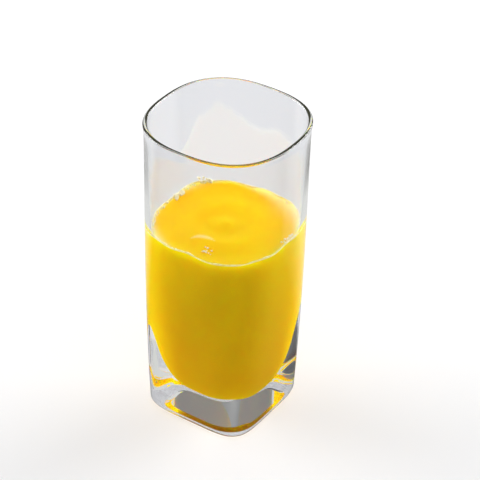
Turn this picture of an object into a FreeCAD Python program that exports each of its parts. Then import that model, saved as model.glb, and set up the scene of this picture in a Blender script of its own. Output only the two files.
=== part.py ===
"""A tall rounded-square tumbler part-filled with juice, in millimetres, +Z up.

The origin is the middle of the foot, on the surface that the glass stands on. The flat sides of the
glass face +X, -X, +Y and -Y, and its rounded corners point between them.

Every level section is a superellipse |x|^n + |y|^n = w^n. Here w is the half width across the flat
sides, and n, the squareness, is 2 for a circle and grows as the corners sharpen. The rim is nearly
round, the foot is square with soft corners, and the sections run smoothly from one to the other.
The wall thickens downwards into a heavy floor, and the rim swells into a slim fire-polished bead.

The juice fills the cavity up to its level. It climbs the wall in a meniscus, the line where it meets
the wall is gently uneven, and slow rings spread over its surface from where it was poured in.
"""
import FreeCAD
import Part

import math
import os

# --- The outside of the glass -----------------------------------------------------------------
glass_height = 145.0
rim_half_width = 33.0        # axis to flat side, over the bead
foot_half_width = 26.4       # the same at the foot, were the heel left sharp
belly = 0.6                  # how far the sides bow out between the two, at mid height
rim_squareness = 2.5
foot_squareness = 5.0
squaring_power = 1.6         # the corners sharpen mostly low down: higher keeps them round for longer
heel_radius = 3.5            # round between the side and the foot

# --- The rim ----------------------------------------------------------------------------------
bead_height = 5.0            # the wall swells into the bead over this height
bead_out = 0.35              # swell on the outside
bead_in = 0.25               # swell on the inside
lip_radius = 0.85            # round on both edges of the rim

# --- The cavity -------------------------------------------------------------------------------
rim_wall = 1.3               # wall across a flat side, just under the bead
foot_wall = 11.0             # the same at the floor, were the bowl left out
floor_thickness = 14.0
thickening_power = 3.2       # the wall thickens mostly low down: higher keeps it thin for longer
corner_fill = 1.2            # taken off the squareness at the floor, so low corners are thick too
bowl_height = 16.0           # the cavity ends in a bowl of this height ...
bowl_inset = 7.0             # ... which takes this much off its half width

# --- The hollow under the foot ----------------------------------------------------------------
foot_ring_width = 5.0        # the flat that the glass stands on
hollow_depth = 1.2
hollow_slope = 2.5           # the hollow's side runs in this far as it rises

# --- The juice --------------------------------------------------------------------------------
juice_level = 93.7           # calm surface above the foot
wall_clearance = 0.15        # keeps the juice's side and the glass from sharing one face
meniscus_rise = 1.5
meniscus_reach = 1.7         # the rise falls to a third over this distance from the wall
shore_waves = (              # unevenness of the line round the wall:
    (6, 0.30, -94.0),        # waves round the glass, height, and the direction of one crest
    (9, 0.27, -1.0),
    (12, 0.25, 1.2),
)
ring_height = 0.55           # rings on the surface: height at the axis, where juice was poured in
ring_spacing = 15.5
ring_fade = 22.0             # they fall to a third over this distance
ring_lean = 0.6              # share by which they stand higher towards the lean, and lower away from it
lean_direction = -105.0

# --- How finely the forms are drawn -----------------------------------------------------------
glass_points = 32            # points round each section of the glass
juice_points = 60            # points round each section of the juice
wall_step = 9.0              # height between sections up the wall
bowl_steps = 9
edge_steps = 4               # strips round the heel, and round each edge of the rim
surface_rings = 16
middle_share = 0.03          # flat middle of the juice's surface, as a share of its width


def blend(low, high, share):
    return low + (high - low) * share


def quarter_round(share):
    """1 at the start of a quarter round, falling to 0 where it runs into the straight side."""
    return 1.0 - math.sqrt(max(0.0, 1.0 - (1.0 - min(1.0, share)) ** 2))


def body_half_width(z):
    """Half width of the outside across its flat sides, without the bead and the rounded edges."""
    share = z / glass_height
    return blend(foot_half_width, rim_half_width - bead_out, share) + 4.0 * belly * share * (1.0 - share)


def body_squareness(z):
    return blend(rim_squareness, foot_squareness, (1.0 - z / glass_height) ** squaring_power)


def bead_share(z):
    """0 below the bead, rising smoothly to 1 at the rim."""
    share = max(0.0, (z - (glass_height - bead_height)) / bead_height)
    return share * share * (3.0 - 2.0 * share)


def wall_share(z):
    """0 at the cavity's floor and 1 at the rim."""
    return (z - floor_thickness) / (glass_height - floor_thickness)


def thickening(z):
    """0 at the rim, rising ever faster to 1 at the cavity's floor."""
    return (1.0 - wall_share(z)) ** thickening_power


def lip(z):
    """How far the rounded rim stands back from each face of the wall."""
    return lip_radius * quarter_round((glass_height - z) / lip_radius)


def outside_half_width(z):
    heel = heel_radius * quarter_round(z / heel_radius)
    return body_half_width(z) + bead_out * bead_share(z) - heel - lip(z)


def cavity_half_width(z):
    wall = rim_wall + (foot_wall - rim_wall) * thickening(z) + bead_in * bead_share(z)
    bowl = bowl_inset * quarter_round((z - floor_thickness) / bowl_height)
    return body_half_width(z) - wall - bowl + lip(z)


def cavity_squareness(z):
    return body_squareness(z) - corner_fill * thickening(z)


def reach(width, squareness, angle):
    """Distance from the axis to a superellipse in the direction of angle."""
    total = abs(math.cos(angle)) ** squareness + abs(math.sin(angle)) ** squareness
    return width * total ** (-1.0 / squareness)


def closed_curve(point_at, count):
    """A smooth closed wire through point_at(angle) at even angles all the way round."""
    points = [point_at(2.0 * math.pi * i / count) for i in range(count)]
    curve = Part.BSplineCurve()
    curve.interpolate(Points=points, PeriodicFlag=True, Parameters=list(range(count + 1)))
    return Part.Wire([curve.toShape()])


def section(width, squareness, z, count=glass_points):
    """The level superellipse at height z."""
    def point_at(angle):
        r = reach(width, squareness, angle)
        return FreeCAD.Vector(r * math.cos(angle), r * math.sin(angle), z)
    return closed_curve(point_at, count)


def even_heights(low, high, steps):
    return [blend(low, high, i / steps) for i in range(steps + 1)]


def wall_heights(low, high):
    """Heights from low to high, about a wall step apart."""
    return even_heights(low, high, max(2, round((high - low) / wall_step)))


def quarter_heights(level, upright, steps):
    """Heights along a quarter round, from its level end, where they crowd, to its upright end."""
    return [blend(upright, level, math.cos(0.5 * math.pi * i / steps)) for i in range(steps + 1)]


def side_heights(low):
    """Heights from low to the foot of the rounded rim, closer together in the bead."""
    under_bead = glass_height - bead_height
    return wall_heights(low, under_bead) + even_heights(under_bead, glass_height - lip_radius, 3)[1:]


def solid_through(width_at, squareness_at, levels, ruled=False):
    """A solid through the level sections at these heights, smooth or, if ruled, in flat-sided strips."""
    return Part.makeLoft([section(width_at(z), squareness_at(z), z) for z in levels], True, ruled)


def rim_strips(width_at, squareness_at):
    levels = quarter_heights(glass_height, glass_height - lip_radius, edge_steps)[::-1]
    return solid_through(width_at, squareness_at, levels, True)


def outside():
    """The glass as a solid block."""
    heel = solid_through(outside_half_width, body_squareness,
                         quarter_heights(0.0, heel_radius, edge_steps), True)
    side = solid_through(outside_half_width, body_squareness, side_heights(heel_radius))
    return heel.fuse([side, rim_strips(outside_half_width, body_squareness)])


def cavity():
    bowl = quarter_heights(floor_thickness, floor_thickness + bowl_height, bowl_steps)
    side = side_heights(floor_thickness + bowl_height)
    inside = solid_through(cavity_half_width, cavity_squareness, bowl + side[1:])
    return inside.fuse(rim_strips(cavity_half_width, cavity_squareness))


def foot_hollow():
    mouth = outside_half_width(0.0) - foot_ring_width
    return Part.makeLoft([section(mouth, foot_squareness, 0.0),
                          section(mouth - hollow_slope, foot_squareness, hollow_depth)], True, True)


def tumbler():
    return outside().cut([cavity(), foot_hollow()]).removeSplitter()


def shore_height(angle):
    """Where the juice meets the wall."""
    waves = sum(height * math.cos(count * (angle - math.radians(crest)))
                for count, height, crest in shore_waves)
    return juice_level + meniscus_rise + waves


def ring_wave(angle, share, distance):
    """Height of the rings at a distance from the axis, which is a share of the way to the wall."""
    lean = 1.0 + ring_lean * share * math.cos(angle - math.radians(lean_direction))
    ripple = math.cos(2.0 * math.pi * distance / ring_spacing) * math.exp(-distance / ring_fade)
    return ring_height * lean * ripple


def juice_half_width(z):
    return cavity_half_width(z) - wall_clearance


def shore_point(angle):
    z = shore_height(angle)
    r = reach(juice_half_width(z), cavity_squareness(z), angle)
    return FreeCAD.Vector(r * math.cos(angle), r * math.sin(angle), z)


def surface_point(angle, share):
    """A point of the juice's surface, a share of the way from the axis to the wall."""
    shore = shore_point(angle)
    width = math.hypot(shore.x, shore.y)
    climb = math.exp(-(1.0 - share) * width / meniscus_reach)
    calm = juice_level + ring_wave(angle, share, share * width)
    return FreeCAD.Vector(share * shore.x, share * shore.y, blend(calm, shore.z, climb))


def ring_shares():
    """Shares for the surface's rings, from the wall inwards, crowded in the meniscus."""
    return [blend(1.0, middle_share, (i / surface_rings) ** 1.6) for i in range(1, surface_rings)]


def juice():
    """The juice: a shell of its side, its surface, and flat faces at the floor and in the middle."""
    bowl = quarter_heights(floor_thickness, floor_thickness + bowl_height, bowl_steps)
    side = wall_heights(floor_thickness + bowl_height, juice_level + meniscus_rise)[:-1]
    levels = bowl + side[1:]
    lifts = [0.0] + [wall_clearance] * (len(levels) - 1)
    sections = [section(juice_half_width(z), cavity_squareness(z), z + lift, juice_points)
                for z, lift in zip(levels, lifts)]
    shore = closed_curve(shore_point, juice_points)
    rings = [closed_curve(lambda angle: surface_point(angle, share), juice_points)
             for share in ring_shares()]
    middle = section(middle_share * juice_half_width(juice_level), 2.0, juice_level + ring_height,
                     juice_points)
    side_face = Part.makeLoft(sections + [shore], False)
    surface_face = Part.makeLoft([shore] + rings + [middle], False)
    shell = Part.makeShell(side_face.Faces + surface_face.Faces
                           + [Part.Face(sections[0]), Part.Face(middle)])
    shell.sewShape()
    return Part.makeSolid(shell)


os.makedirs("parts", exist_ok=True)
tumbler().exportStep("parts/tumbler.step")
juice().exportStep("parts/juice.step")
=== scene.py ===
"""Looks for the glass of tangerine juice: clear glass, cloudy juice, froth, bubbles and a pale studio.

The glass and the juice are drawn as fine meshes from the same sections as the solids. Every level
section is a superellipse |x|^n + |y|^n = w^n, with half width w and squareness n. Shapes are in
millimetres and degrees, and are scaled to metres when a mesh is made. Materials, lamps and the
camera are in metres.
"""

import math

import bpy
import numpy as np
from mathutils import Matrix, Vector


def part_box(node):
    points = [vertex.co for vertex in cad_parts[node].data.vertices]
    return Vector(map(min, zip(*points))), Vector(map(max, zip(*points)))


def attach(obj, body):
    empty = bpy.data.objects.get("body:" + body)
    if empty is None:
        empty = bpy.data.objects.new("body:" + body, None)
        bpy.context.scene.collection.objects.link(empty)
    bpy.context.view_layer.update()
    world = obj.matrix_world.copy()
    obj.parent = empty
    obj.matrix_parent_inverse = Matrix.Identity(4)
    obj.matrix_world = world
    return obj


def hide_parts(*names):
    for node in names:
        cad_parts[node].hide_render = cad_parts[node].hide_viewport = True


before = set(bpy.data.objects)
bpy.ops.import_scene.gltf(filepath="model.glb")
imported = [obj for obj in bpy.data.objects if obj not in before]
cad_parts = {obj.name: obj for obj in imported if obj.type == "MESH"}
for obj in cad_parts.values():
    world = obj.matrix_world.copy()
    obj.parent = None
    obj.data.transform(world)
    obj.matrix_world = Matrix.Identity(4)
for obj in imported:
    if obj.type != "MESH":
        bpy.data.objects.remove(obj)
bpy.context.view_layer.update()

MM = 0.001

# --- The form, as in the solids ----------------------------------------------------------------
GLASS_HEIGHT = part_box("tumbler")[1][2] / MM
RIM_HALF_WIDTH = 33.0
FOOT_HALF_WIDTH = 26.4
BELLY = 0.6                  # how far the sides swell, halfway up
RIM_SQUARENESS = 2.5
FOOT_SQUARENESS = 5.0
SQUARING_POWER = 1.6
HEEL_RADIUS = 3.5
BEAD_HEIGHT = 5.0
BEAD_OUT = 0.35
BEAD_IN = 0.25
LIP_RADIUS = 0.85
RIM_WALL = 1.3
FOOT_WALL = 11.0
FLOOR_THICKNESS = 14.0
THICKENING_POWER = 3.2
CORNER_FILL = 1.2            # the cavity's corners are rounder than the outside's by up to this
BOWL_HEIGHT = 16.0
BOWL_INSET = 7.0
FOOT_RING_WIDTH = 5.0
HOLLOW_DEPTH = 1.2
HOLLOW_SLOPE = 2.5
JUICE_LEVEL = 93.7
MENISCUS_RISE = 1.5
MENISCUS_REACH = 1.7
SHORE_WAVES = ((6, 0.30, -94.0), (9, 0.27, -1.0), (12, 0.25, 1.2))  # waves round, height, a crest
RING_HEIGHT = 0.55
RING_SPACING = 15.5
RING_FADE = 22.0
RING_LEAN = 0.6
LEAN_DIRECTION = -105.0

# --- How finely the glass and the juice are drawn ------------------------------------------------
POINTS_ROUND = 224           # points round each ring
HEEL_STEPS = 10
WALL_STEPS = 30
BEAD_STEPS = 6
LIP_STEPS = 8
BOWL_STEPS = 16
ROOF_SHARES = (0.3, 0.6, 0.9, 0.98, 1.0)      # rings on the roof of the foot's hollow
SLOPE_SHARES = (0.05, 0.5, 0.95, 1.0)         # rings down the hollow's slope
FOOT_SHARES = (0.05, 0.5, 0.95)               # rings across the ring that the glass stands on
FLOOR_SHARES = (0.97, 0.8, 0.5, 0.2)          # rings on the cavity's floor
JUICE_FLOOR_SHARES = (0.3, 0.6, 0.9)          # rings on the juice's underside
SIDE_STEPS = 24
SIDE_TOP = JUICE_LEVEL - 2.5                  # the level rings of the juice's side end here
SHORE_DROPS = (1.6, 0.9, 0.45, 0.2)           # its last rings follow the shore, this far below
SURFACE_RINGS = 60
SURFACE_CROWDING = 1.7                        # above 1, the surface's rings crowd at the wall
WALL_BITE = 0.15             # the juice reaches this far into the wall, so that no air gap shows

# --- The pale film on the juice, and a painted highlight ------------------------------------------
FILM_PALEST = 0.9            # how pale it is at the wall, from 0 to 1
FILM_WIDTH = 0.6
FILM_UNEVENNESS = 0.2        # the width wavers by this
FILM_WAVES = 7.0             # this many times round the glass
FILM_PHASE = 2.0             # radians
FILM_SHARPNESS = 1.5         # how abruptly it ends
SURFACE_HALF_WIDTH = 30.0    # roughly, to turn a share of the way to the wall into a distance
SHORE_FILM = 0.7             # how pale the side's last ring is
# Stretches where the film is wide: their direction, extra width, and half their spread.
WIDE_FILM = ((-128.0, 1.6, 16.0), (58.0, 3.4, 30.0), (150.0, 0.8, 30.0))
# A painted highlight on a crest curves over the surface's middle: the curve's start, pull and end.
CREST = ((-5.6, -18.9), (-3.2, -11.6), (5.5, -14.2))
CREST_STEPS = 10
CREST_WIDTH = 1.1            # half width in its middle; it thins to nothing at its ends
CREST_HIGHLIGHT = 0.5

# --- Froth and bubbles ----------------------------------------------------------------------------
FROTH_RADIUS = 0.26          # the thin line of froth where the juice meets the wall
FROTH_SIDES = 8
FROTH_WAVES = ((0.35, 11.0, 0.0), (0.25, 29.0, 1.0))  # share of the radius, waves round, phase
FROTH_SINK = 0.3             # share of its radius by which it lies below the shore
BUBBLE_ROWS = 6
BUBBLE_COLUMNS = 10
BUBBLE_FLOAT = 0.25          # share of its radius by which a bubble's centre is above the surface
BUBBLE_SEED = 7
# Stretches with bubbles: from and to direction, how many, their distance from the wall (least and
# most), how far up the wall they cling at most, and their radius (least and most).
BUBBLE_RUNS = (
    (150.0, 222.0, 60, 0.1, 1.2, 0.6, 0.25, 0.60),
    (164.0, 177.0, 26, 0.1, 2.2, 1.6, 0.30, 0.75),
    (136.0, 147.0, 26, 0.0, 1.0, 4.0, 0.30, 0.75),
    (2.0, 18.0, 18, 0.4, 2.8, 0.0, 0.25, 0.60),
    (-82.0, -70.0, 12, 6.0, 11.0, 0.0, 0.25, 0.65),
    (225.0, 262.0, 12, 0.2, 1.2, 0.3, 0.20, 0.40),
    (40.0, 120.0, 10, 0.2, 1.5, 0.3, 0.20, 0.40),
)

# --- The camera and the lamps ---------------------------------------------------------------------
CAMERA_RIGHT = math.radians(34.0)             # the direction of the camera's right-hand side
CAMERA_ELEVATION = math.radians(31.58)
CAMERA_DISTANCE = 0.825                       # from the middle of the rim
CAMERA_LENS = 150.375                         # millimetres, as is the sensor's width
SENSOR_WIDTH = 36.0
CAMERA_ROLL = math.radians(1.17)
CAMERA_TILT = math.radians(3.4251)            # it looks this far below the middle of the rim,
CAMERA_PAN = math.radians(0.3429)             # and this far to the right of it
RIGHT = Vector((math.cos(CAMERA_RIGHT), math.sin(CAMERA_RIGHT), 0.0))
AWAY = Vector((-math.sin(CAMERA_RIGHT), math.cos(CAMERA_RIGHT), 0.0))
LAMP_SIZE = 0.8
LAMP_TARGET = Vector((0.0, 0.0, 0.08))        # about the middle of the glass
LAMPS = (                                     # name, place, watts
    ("lamp_left", (-1.1, -0.3, 0.45), 13.0),
    ("lamp_right", (0.45, 1.05, 0.45), 15.0),
    ("lamp_front", (0.7, -1.0, 0.6), 0.8),
    ("lamp_top", (0.0, 0.0, 1.3), 1.1),
)
FLOOR_HALF_SIZE = 3000.0                      # millimetres, as other meshes


# --- Sections ------------------------------------------------------------------------------------
def blend(low, high, share):
    return low + (high - low) * share


def quarter_round(share):
    """1 at the start of a quarter round, falling to 0 where it runs into the straight side."""
    return 1.0 - math.sqrt(max(0.0, 1.0 - (1.0 - min(1.0, share)) ** 2))


def bead_share(z):
    """0 under the bead at the rim, rising smoothly to 1 at the rim."""
    share = max(0.0, (z - (GLASS_HEIGHT - BEAD_HEIGHT)) / BEAD_HEIGHT)
    return share * share * (3.0 - 2.0 * share)


def wall_share(z):
    return (z - FLOOR_THICKNESS) / (GLASS_HEIGHT - FLOOR_THICKNESS)


def thickening(z):
    """0 at the rim, rising ever faster to 1 at the cavity's floor."""
    return (1.0 - wall_share(z)) ** THICKENING_POWER


def lip(z):
    return LIP_RADIUS * quarter_round((GLASS_HEIGHT - z) / LIP_RADIUS)


def body_half_width(z):
    share = z / GLASS_HEIGHT
    swell = BELLY * 4.0 * share * (1.0 - share)
    return blend(FOOT_HALF_WIDTH, RIM_HALF_WIDTH - BEAD_OUT, share) + swell


def body_squareness(z):
    return blend(RIM_SQUARENESS, FOOT_SQUARENESS, (1.0 - z / GLASS_HEIGHT) ** SQUARING_POWER)


def outside_half_width(z):
    heel = HEEL_RADIUS * quarter_round(z / HEEL_RADIUS)
    return body_half_width(z) + BEAD_OUT * bead_share(z) - heel - lip(z)


def cavity_half_width(z):
    wall = RIM_WALL + (FOOT_WALL - RIM_WALL) * thickening(z) + BEAD_IN * bead_share(z)
    bowl = BOWL_INSET * quarter_round((z - FLOOR_THICKNESS) / BOWL_HEIGHT)
    return body_half_width(z) - wall - bowl + lip(z)


def cavity_squareness(z):
    return body_squareness(z) - CORNER_FILL * thickening(z)


def reach(width, squareness, angle):
    """Distance from the axis to a superellipse in the direction of angle."""
    total = abs(math.cos(angle)) ** squareness + abs(math.sin(angle)) ** squareness
    return width * total ** (-1.0 / squareness)


# --- Meshes --------------------------------------------------------------------------------------
def angles_round(count):
    return [2.0 * math.pi * i / count for i in range(count)]


def even_heights(low, high, steps):
    return [blend(low, high, i / steps) for i in range(steps + 1)]


def quarter_heights(level, upright, steps):
    """Heights along a quarter round, from its level end, where they crowd, to its upright end."""
    return [blend(upright, level, math.cos(0.5 * math.pi * i / steps)) for i in range(steps + 1)]


def ring(width, squareness, z):
    """Points at even angles round a level section."""
    points = []
    for angle in angles_round(POINTS_ROUND):
        r = reach(width, squareness, angle)
        points.append((r * math.cos(angle), r * math.sin(angle), z))
    return points


def band(low, high, count):
    """Faces between two rings of count points, whose first points are numbered low and high."""
    faces = []
    for i in range(count):
        j = (i + 1) % count
        faces.append((low + i, low + j, high + j, high + i))
    return faces


def skin_faces(count, rows):
    """Faces of a closed skin: a first point, rows of count points, and a last point."""
    faces = [(0, 1 + (i + 1) % count, 1 + i) for i in range(count)]
    for row in range(rows - 1):
        faces += band(1 + row * count, 1 + (row + 1) * count, count)
    top = 1 + (rows - 1) * count
    faces += [(top + i, top + (i + 1) % count, top + count) for i in range(count)]
    return faces


def mesh_object(name, vertices, faces, smooth=True):
    mesh = bpy.data.meshes.new(name)
    mesh.from_pydata([tuple(c * MM for c in v) for v in vertices], [], faces)
    mesh.update()
    mesh.polygons.foreach_set("use_smooth", [smooth] * len(mesh.polygons))
    piece = bpy.data.objects.new(name, mesh)
    bpy.context.scene.collection.objects.link(piece)
    return piece


def skin(name, start, rings, end):
    """A closed mesh through rings of points, from the point start to the point end."""
    vertices = [start] + [point for points in rings for point in points] + [end]
    return mesh_object(name, vertices, skin_faces(len(rings[0]), len(rings)))


# --- Parts of materials ---------------------------------------------------------------------------
def linear(red, green, blue):
    """A colour written as 0 to 255 screen values, in the linear values that a shader takes."""
    def one(value):
        value /= 255.0
        return value / 12.92 if value <= 0.04045 else ((value + 0.055) / 1.055) ** 2.4
    return (one(red), one(green), one(blue), 1.0)


def new_material(name):
    material = bpy.data.materials.new(name)
    material.use_nodes = True
    nodes = material.node_tree.nodes
    nodes.clear()
    return material, nodes, material.node_tree.links


def add_node(nodes, kind, values=None, operation=None):
    """A new shader node, with values for some of its sockets by name or number."""
    node = nodes.new("ShaderNode" + kind)
    if operation:
        node.operation = operation
    for socket, value in (values or {}).items():
        node.inputs[socket].default_value = value
    return node


def object_place(nodes):
    """A socket with the place on the object."""
    return add_node(nodes, "TexCoord").outputs["Object"]


def height_of(nodes, links, place):
    """A socket with the height, Z, of the socket place."""
    split = add_node(nodes, "SeparateXYZ")
    links.new(place, split.inputs["Vector"])
    return split.outputs["Z"]


def map_range(nodes, links, value, source, target=(0.0, 1.0)):
    """A socket that takes the socket value from the range source to the range target."""
    node = add_node(nodes, "MapRange", {"From Min": source[0], "From Max": source[1],
                                        "To Min": target[0], "To Max": target[1]})
    links.new(value, node.inputs["Value"])
    return node.outputs["Result"]


def colour_ramp(nodes, links, share, low, high):
    """A socket with a colour between two ends, which are each a share and its colour."""
    ramp = add_node(nodes, "ValToRGB")
    for element, (position, colour) in zip(ramp.color_ramp.elements, (low, high)):
        element.position = position
        element.color = colour
    links.new(share, ramp.inputs["Fac"])
    return ramp.outputs["Color"]


def mixed_colour(nodes, links, share, first, second):
    """A socket with the colour of the socket first, passing to the colour second."""
    mix = add_node(nodes, "Mix")
    mix.data_type = "RGBA"
    mix.inputs["B"].default_value = second
    links.new(share, mix.inputs["Factor"])
    links.new(first, mix.inputs["A"])
    return mix.outputs["Result"]


def mixed_shader(nodes, links, share, first, second):
    """A socket with the shader of the socket first, passing to that of the socket second."""
    mix = add_node(nodes, "MixShader")
    links.new(share, mix.inputs["Fac"])
    links.new(first, mix.inputs[1])
    links.new(second, mix.inputs[2])
    return mix.outputs["Shader"]


def finish_with(nodes, links, surface, output="OutputMaterial"):
    links.new(surface, add_node(nodes, output).inputs["Surface"])


def reflected_once(nodes, links, path):
    """A socket that is 1 for light that has been reflected just once on its way."""
    once = add_node(nodes, "Math", {1: 1.0, 2: 0.5}, operation="COMPARE")
    links.new(path.outputs["Glossy Depth"], once.inputs[0])
    return once.outputs["Value"]


# --- Materials ------------------------------------------------------------------------------------
def glass_material():
    """Clear glass. Lamps shine through it with a little lost, so what it holds is lit.

    Where light has been turned back three times by the walls, the glass glows with a painted shade
    set by height instead: dark at the rim and pale lower down, for what that light would show.
    """
    material, nodes, links = new_material("clear_glass")
    path = add_node(nodes, "LightPath")
    glass = add_node(nodes, "BsdfPrincipled", {
        "Base Color": (0.97, 0.98, 0.985, 1.0),
        "Roughness": 0.0,
        "IOR": 1.5,
        "Transmission Weight": 1.0,
    })
    # Painted shade: a glow whose colour is set by height, dark at the rim and pale lower down.
    height = map_range(nodes, links, height_of(nodes, links, object_place(nodes)), (0.108, 0.124))
    shade = colour_ramp(nodes, links, height,
                        (0.0, (0.72, 0.73, 0.70, 1.0)), (1.0, (0.055, 0.055, 0.035, 1.0)))
    painted_shade_glow = add_node(nodes, "Emission")
    links.new(shade, painted_shade_glow.inputs["Color"])
    turned_thrice = add_node(nodes, "Math", {1: 2.5}, operation="GREATER_THAN")
    links.new(path.outputs["Glossy Depth"], turned_thrice.inputs[0])
    body = mixed_shader(nodes, links, turned_thrice.outputs["Value"],
                        glass.outputs["BSDF"], painted_shade_glow.outputs["Emission"])
    clear = add_node(nodes, "BsdfTransparent", {"Color": (0.9, 0.91, 0.91, 1.0)})
    surface = mixed_shader(nodes, links, path.outputs["Is Shadow Ray"], body, clear.outputs["BSDF"])
    finish_with(nodes, links, surface)
    return material


def juice_material(name, wet, low_colour, high_colour):
    """Cloudy juice of wandering colour. Light sinks in and spreads, red furthest.

    It has painted shade, darker and more orange towards the bottom, and is paler where the mesh
    carries film or the crest's painted highlight.
    """
    material, nodes, links = new_material(name)
    shader = add_node(nodes, "BsdfPrincipled", {
        "Subsurface Weight": 1.0,
        "Subsurface Scale": 0.014,
        "Subsurface Radius": (1.0, 0.5, 0.1),
        "Roughness": 0.12 if wet else 0.6,
        "IOR": 1.2 if wet else 1.0,
    })
    place = object_place(nodes)
    noise = add_node(nodes, "TexNoise", {"Scale": 60.0, "Detail": 3.0})
    links.new(place, noise.inputs["Vector"])
    tone = colour_ramp(nodes, links, noise.outputs["Fac"], (0.3, low_colour), (0.7, high_colour))
    # Painted shade: the colour turns darker and more orange towards the bottom.
    depth = map_range(nodes, links, height_of(nodes, links, place), (0.085, 0.02))
    painted_low_shade = mixed_colour(nodes, links, depth, tone, linear(250, 190, 3))
    # The film attribute pales the colour with film and with the crest's painted highlight.
    film = add_node(nodes, "Attribute")
    film.attribute_name = "film"
    pale = mixed_colour(nodes, links, film.outputs["Fac"], painted_low_shade, linear(255, 240, 190))
    links.new(pale, shader.inputs["Base Color"])
    finish_with(nodes, links, shader.outputs["BSDF"])
    return material


def froth_material():
    """Fine froth: matt cream."""
    material, nodes, links = new_material("froth")
    shader = add_node(nodes, "BsdfPrincipled", {"Roughness": 0.5})
    noise = add_node(nodes, "TexNoise", {"Scale": 900.0})
    links.new(object_place(nodes), noise.inputs["Vector"])
    tone = colour_ramp(nodes, links, noise.outputs["Fac"],
                       (0.35, linear(248, 218, 112)), (0.65, linear(255, 245, 196)))
    links.new(tone, shader.inputs["Base Color"])
    finish_with(nodes, links, shader.outputs["BSDF"])
    return material


def bubble_material():
    """The pale, shiny skin of small bubbles."""
    material, nodes, links = new_material("bubble_film")
    shader = add_node(nodes, "BsdfPrincipled", {
        "Base Color": linear(255, 247, 214),
        "Roughness": 0.08,
        "IOR": 1.33,
    })
    finish_with(nodes, links, shader.outputs["BSDF"])
    return material


# --- The glass ----------------------------------------------------------------------------------
def make_tumbler():
    """The glass, skinned from under its foot, up the outside, over the lip and down the cavity."""
    under_bead = GLASS_HEIGHT - BEAD_HEIGHT
    under_lip = GLASS_HEIGHT - LIP_RADIUS
    bowl_top = FLOOR_THICKNESS + BOWL_HEIGHT
    foot = outside_half_width(0.0)
    mouth = foot - FOOT_RING_WIDTH
    roof = mouth - HOLLOW_SLOPE
    rings = [ring(roof * share, FOOT_SQUARENESS, HOLLOW_DEPTH) for share in ROOF_SHARES]
    rings += [ring(blend(roof, mouth, share), FOOT_SQUARENESS, HOLLOW_DEPTH * (1.0 - share))
              for share in SLOPE_SHARES]
    rings += [ring(blend(mouth, foot, share), FOOT_SQUARENESS, 0.0) for share in FOOT_SHARES]
    outer = quarter_heights(0.0, HEEL_RADIUS, HEEL_STEPS)
    outer += even_heights(HEEL_RADIUS, under_bead, WALL_STEPS)[1:]
    outer += even_heights(under_bead, under_lip, BEAD_STEPS)[1:]
    outer += quarter_heights(GLASS_HEIGHT, under_lip, LIP_STEPS)[-2::-1]
    rings += [ring(outside_half_width(z), body_squareness(z), z) for z in outer]
    inner = quarter_heights(GLASS_HEIGHT, under_lip, LIP_STEPS)
    inner += even_heights(under_bead, under_lip, BEAD_STEPS)[-2::-1]
    inner += even_heights(bowl_top, under_bead, WALL_STEPS)[-2::-1]
    inner += quarter_heights(FLOOR_THICKNESS, bowl_top, BOWL_STEPS)[-2::-1]
    rings += [ring(cavity_half_width(z), cavity_squareness(z), z) for z in inner]
    floor = cavity_half_width(FLOOR_THICKNESS)
    rings += [ring(floor * share, cavity_squareness(FLOOR_THICKNESS), FLOOR_THICKNESS)
              for share in FLOOR_SHARES]
    piece = skin("tumbler_glass", (0.0, 0.0, HOLLOW_DEPTH), rings, (0.0, 0.0, FLOOR_THICKNESS))
    piece.data.materials.append(glass_material())
    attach(piece, "root")
    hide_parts("tumbler")


# --- The juice ----------------------------------------------------------------------------------
def juice_half_width(z):
    return cavity_half_width(z) + WALL_BITE


def shore_height(angle):
    waves = sum(height * math.cos(count * (angle - math.radians(crest)))
                for count, height, crest in SHORE_WAVES)
    return JUICE_LEVEL + MENISCUS_RISE + waves


def ring_wave(angle, share, distance):
    """Height of the rings of the pour, which fade outwards and are higher to one side."""
    lean = 1.0 + RING_LEAN * share * math.cos(angle - math.radians(LEAN_DIRECTION))
    ripple = math.cos(2.0 * math.pi * distance / RING_SPACING) * math.exp(-distance / RING_FADE)
    return RING_HEIGHT * lean * ripple


def side_point(angle, z):
    r = reach(juice_half_width(z), cavity_squareness(z), angle)
    return (r * math.cos(angle), r * math.sin(angle), z)


def shore_point(angle):
    return side_point(angle, shore_height(angle))


def surface_point(angle, share):
    """A point of the surface, a share of the way from the axis to the wall."""
    shore = shore_point(angle)
    width = math.hypot(shore[0], shore[1])
    climb = math.exp(-(1.0 - share) * width / MENISCUS_REACH)
    calm = JUICE_LEVEL + ring_wave(angle, share, share * width)
    return (share * shore[0], share * shore[1], blend(calm, shore[2], climb))


def crest_highlight(x, y):
    """How much painted highlight the crest puts on a place on the surface."""
    palest = 0.0
    for step in range(1, CREST_STEPS):
        along = step / CREST_STEPS
        here = [blend(blend(a, b, along), blend(b, c, along), along) for a, b, c in zip(*CREST)]
        width = CREST_WIDTH * math.sin(math.pi * along)
        palest = max(palest, math.exp(-(math.hypot(x - here[0], y - here[1]) / width) ** 2))
    return CREST_HIGHLIGHT * palest


def film_and_crest_highlight(angle, share):
    """How pale a place on the surface is: the film is a thin line, wide on some stretches, and the
    crest adds a painted highlight.
    """
    width = FILM_WIDTH + FILM_UNEVENNESS * math.sin(FILM_WAVES * angle + FILM_PHASE)
    for direction, extra, spread in WIDE_FILM:
        aside = math.remainder(angle - math.radians(direction), 2.0 * math.pi)
        width += extra * math.exp(-(aside / math.radians(spread)) ** 2)
    inwards = (1.0 - share) * SURFACE_HALF_WIDTH
    film = FILM_PALEST * math.exp(-(inwards / width) ** FILM_SHARPNESS)
    x, y, _ = surface_point(angle, share)
    return max(film, crest_highlight(x, y))


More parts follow.
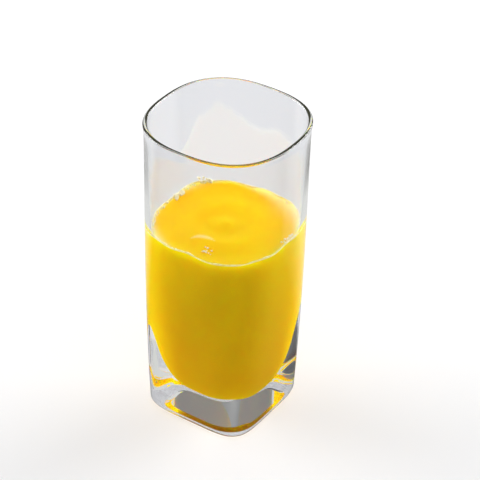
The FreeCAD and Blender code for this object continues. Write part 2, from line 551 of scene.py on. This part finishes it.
def make_juice():
    """The juice, skinned from its underside, up the side to the shore and in over the surface."""
    angles = angles_round(POINTS_ROUND)
    bowl_top = FLOOR_THICKNESS + BOWL_HEIGHT
    bottom = FLOOR_THICKNESS - WALL_BITE
    floor = juice_half_width(FLOOR_THICKNESS)
    rings = [ring(floor * share, cavity_squareness(FLOOR_THICKNESS), bottom)
             for share in JUICE_FLOOR_SHARES]
    for z in quarter_heights(FLOOR_THICKNESS, bowl_top, BOWL_STEPS):
        rings.append(ring(juice_half_width(z), cavity_squareness(z), z - WALL_BITE))
    for z in even_heights(bowl_top, SIDE_TOP, SIDE_STEPS)[1:]:
        rings.append(ring(juice_half_width(z), cavity_squareness(z), z))
    for drop in SHORE_DROPS:
        rings.append([side_point(angle, shore_height(angle) - drop) for angle in angles])
    side_rings = len(rings)
    shares = [1.0 - (i / SURFACE_RINGS) ** SURFACE_CROWDING for i in range(SURFACE_RINGS)]
    for share in shares:
        rings.append([surface_point(angle, share) for angle in angles])
    centre = (0.0, 0.0, JUICE_LEVEL + RING_HEIGHT)
    piece = skin("juice_liquid", (0.0, 0.0, bottom), rings, centre)
    # The film attribute carries the film and, on the surface, the crest's painted highlight.
    film = [0.0] * (1 + (side_rings - 1) * POINTS_ROUND) + [SHORE_FILM] * POINTS_ROUND
    film += [film_and_crest_highlight(angle, share) for share in shares for angle in angles]
    film.append(0.0)
    piece.data.attributes.new("film", "FLOAT", "POINT").data.foreach_set("value", film)
    side = juice_material("juice_side", False, linear(250, 214, 3), linear(253, 222, 5))
    surface = juice_material("juice_surface", True, linear(250, 195, 3), linear(253, 204, 5))
    piece.data.materials.append(side)
    piece.data.materials.append(surface)
    first_top_face = POINTS_ROUND * (side_rings + 1)
    slots = [0 if i < first_top_face else 1 for i in range(len(piece.data.polygons))]
    piece.data.polygons.foreach_set("material_index", slots)
    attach(piece, "root")
    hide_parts("juice")


# --- Froth and bubbles ----------------------------------------------------------------------------
def make_froth():
    """A thin ring of froth that lies on the juice's edge, of uneven thickness."""
    steps = 2 * POINTS_ROUND
    vertices = []
    for angle in angles_round(steps):
        x, y, z = shore_point(angle)
        width = math.hypot(x, y)
        uneven = sum(size * math.sin(count * angle + phase) for size, count, phase in FROTH_WAVES)
        radius = FROTH_RADIUS * (1.0 + uneven)
        middle = 1.0 - (WALL_BITE + radius) / width
        for turn in angles_round(FROTH_SIDES):
            out = middle + radius * math.cos(turn) / width
            up = radius * math.sin(turn) - FROTH_SINK * radius
            vertices.append((out * x, out * y, z + up))
    faces = []
    for i in range(steps):
        faces += [(a, d, c, b) for a, b, c, d in
                  band(i * FROTH_SIDES, (i + 1) % steps * FROTH_SIDES, FROTH_SIDES)]
    piece = mesh_object("juice_froth", vertices, faces)
    piece.data.materials.append(froth_material())
    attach(piece, "root")


def ball_points(centre, radius):
    """Points of a small ball, in the order that skin_faces joins."""
    x, y, z = centre
    points = [(x, y, z - radius)]
    for row in range(1, BUBBLE_ROWS):
        polar = math.pi * row / BUBBLE_ROWS
        out = radius * math.sin(polar)
        for turn in angles_round(BUBBLE_COLUMNS):
            points.append((x + out * math.cos(turn), y + out * math.sin(turn),
                           z - radius * math.cos(polar)))
    points.append((x, y, z + radius))
    return points


def make_bubbles():
    """Bubbles at the wall, some of them climbing it, and a few out on the surface."""
    chance = np.random.default_rng(BUBBLE_SEED)
    ball_faces = skin_faces(BUBBLE_COLUMNS, BUBBLE_ROWS - 1)
    vertices = []
    faces = []
    for start, stop, count, near, far, climb, least, most in BUBBLE_RUNS:
        for _ in range(count):
            angle = math.radians(chance.uniform(start, stop))
            shore = shore_point(angle)
            width = math.hypot(shore[0], shore[1])
            radius = blend(least, most, chance.uniform() ** 2)
            inwards = chance.uniform(near, far)
            x, y, z = surface_point(angle, 1.0 - (inwards + radius) / width)
            up = climb * chance.uniform() * (1.0 - inwards / far)
            faces += [tuple(len(vertices) + i for i in face) for face in ball_faces]
            vertices += ball_points((x, y, z + BUBBLE_FLOAT * radius + up), radius)
    piece = mesh_object("juice_bubbles", vertices, faces)
    piece.data.materials.append(bubble_material())
    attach(piece, "root")


# --- The stage ----------------------------------------------------------------------------------
def floor_material():
    """White to the camera but for the shadow, and a shade less through glass.

    In reflections it is dark on one side of the glass and pale on the other, as if dark and pale
    cards lay on it.
    """
    material, nodes, links = new_material("pale_floor")
    path = add_node(nodes, "LightPath")
    place = add_node(nodes, "NewGeometry").outputs["Position"]
    distance = add_node(nodes, "VectorMath", operation="LENGTH")
    links.new(place, distance.inputs[0])
    glow = add_node(nodes, "Emission")
    links.new(map_range(nodes, links, distance.outputs["Value"], (0.3, 1.2), (0.3, 1.0)),
              glow.inputs["Color"])
    links.new(path.outputs["Is Camera Ray"], glow.inputs["Strength"])
    matt = add_node(nodes, "BsdfDiffuse", {"Color": (0.6, 0.6, 0.61, 1.0)})
    direct = add_node(nodes, "AddShader")
    links.new(matt.outputs["BSDF"], direct.inputs[0])
    links.new(glow.outputs["Emission"], direct.inputs[1])
    through_glass = add_node(nodes, "Emission", {"Color": (0.87, 0.87, 0.90, 1.0)})
    seen = mixed_shader(nodes, links, path.outputs["Is Transmission Ray"],
                        direct.outputs["Shader"], through_glass.outputs["Emission"])
    beyond = add_node(nodes, "VectorMath", {1: AWAY}, operation="DOT_PRODUCT")
    links.new(place, beyond.inputs[0])
    cards = add_node(nodes, "Emission")
    links.new(map_range(nodes, links, beyond.outputs["Value"], (0.03, 0.08), (0.08, 0.7)),
              cards.inputs["Color"])
    surface = mixed_shader(nodes, links, reflected_once(nodes, links, path),
                           seen, cards.outputs["Emission"])
    finish_with(nodes, links, surface)
    return material


def make_floor():
    size = FLOOR_HALF_SIZE
    corners = [(-size, -size, 0.0), (size, -size, 0.0), (size, size, 0.0), (-size, size, 0.0)]
    floor = mesh_object("floor", corners, [(0, 1, 2, 3)], smooth=False)
    floor.data.materials.append(floor_material())


def make_world():
    """White to the camera. Elsewhere bright overhead and grey towards the horizon.

    It is an even pale grey to what looks at it straight through glass, and dim in a reflection.
    """
    world = bpy.data.worlds.new("studio")
    bpy.context.scene.world = world
    world.use_nodes = True
    world.cycles.sampling_method = "NONE"
    nodes, links = world.node_tree.nodes, world.node_tree.links
    nodes.clear()
    path = add_node(nodes, "LightPath")
    height = height_of(nodes, links, add_node(nodes, "TexCoord").outputs["Generated"])
    sky = colour_ramp(nodes, links, height,
                      (0.35, (0.24, 0.24, 0.25, 1.0)), (0.8, (0.62, 0.62, 0.62, 1.0)))
    straight = add_node(nodes, "Math", operation="SUBTRACT")
    straight.use_clamp = True
    links.new(path.outputs["Is Transmission Ray"], straight.inputs[0])
    links.new(path.outputs["Diffuse Depth"], straight.inputs[1])
    colour = mixed_colour(nodes, links, straight.outputs["Value"], sky, (0.8, 0.8, 0.82, 1.0))
    strength = add_node(nodes, "Math", {1: -0.7, 2: 1.0}, operation="MULTIPLY_ADD")
    links.new(reflected_once(nodes, links, path), strength.inputs[0])
    room = add_node(nodes, "Background")
    links.new(colour, room.inputs["Color"])
    links.new(strength.outputs["Value"], room.inputs["Strength"])
    white = add_node(nodes, "Background", {"Color": (1.0, 1.0, 1.0, 1.0)})
    surface = mixed_shader(nodes, links, path.outputs["Is Camera Ray"],
                           room.outputs["Background"], white.outputs["Background"])
    finish_with(nodes, links, surface, "OutputWorld")


def add_lamp(name, place, power):
    """A soft square lamp, aimed at the middle of the glass, that doesn't show through it."""
    data = bpy.data.lights.new(name, "AREA")
    data.size = LAMP_SIZE
    data.energy = power
    lamp = bpy.data.objects.new(name, data)
    bpy.context.scene.collection.objects.link(lamp)
    lamp.location = place
    lamp.rotation_euler = (LAMP_TARGET - Vector(place)).to_track_quat("-Z", "Y").to_euler()
    lamp.visible_camera = False
    lamp.visible_transmission = False


def make_camera():
    """A camera that looks down at the glass, turned a little from the middle of its rim."""
    forward = AWAY * math.cos(CAMERA_ELEVATION) - Vector((0.0, 0.0, math.sin(CAMERA_ELEVATION)))
    turn = Matrix((RIGHT, RIGHT.cross(forward), -forward)).transposed().to_4x4()
    turn @= Matrix.Rotation(CAMERA_ROLL, 4, "Z")
    turn @= Matrix.Rotation(-CAMERA_TILT, 4, "X")
    turn @= Matrix.Rotation(-CAMERA_PAN, 4, "Y")
    rim = Vector((0.0, 0.0, GLASS_HEIGHT * MM))
    data = bpy.data.cameras.new("camera")
    data.sensor_width = SENSOR_WIDTH
    data.lens = CAMERA_LENS
    camera = bpy.data.objects.new("camera", data)
    bpy.context.scene.collection.objects.link(camera)
    camera.matrix_world = Matrix.Translation(rim - forward * CAMERA_DISTANCE) @ turn
    bpy.context.scene.camera = camera


make_tumbler()
make_juice()
make_froth()
make_bubbles()
make_floor()
make_world()
for lamp in LAMPS:
    add_lamp(*lamp)
make_camera()
bpy.context.scene.view_settings.view_transform = "Standard"
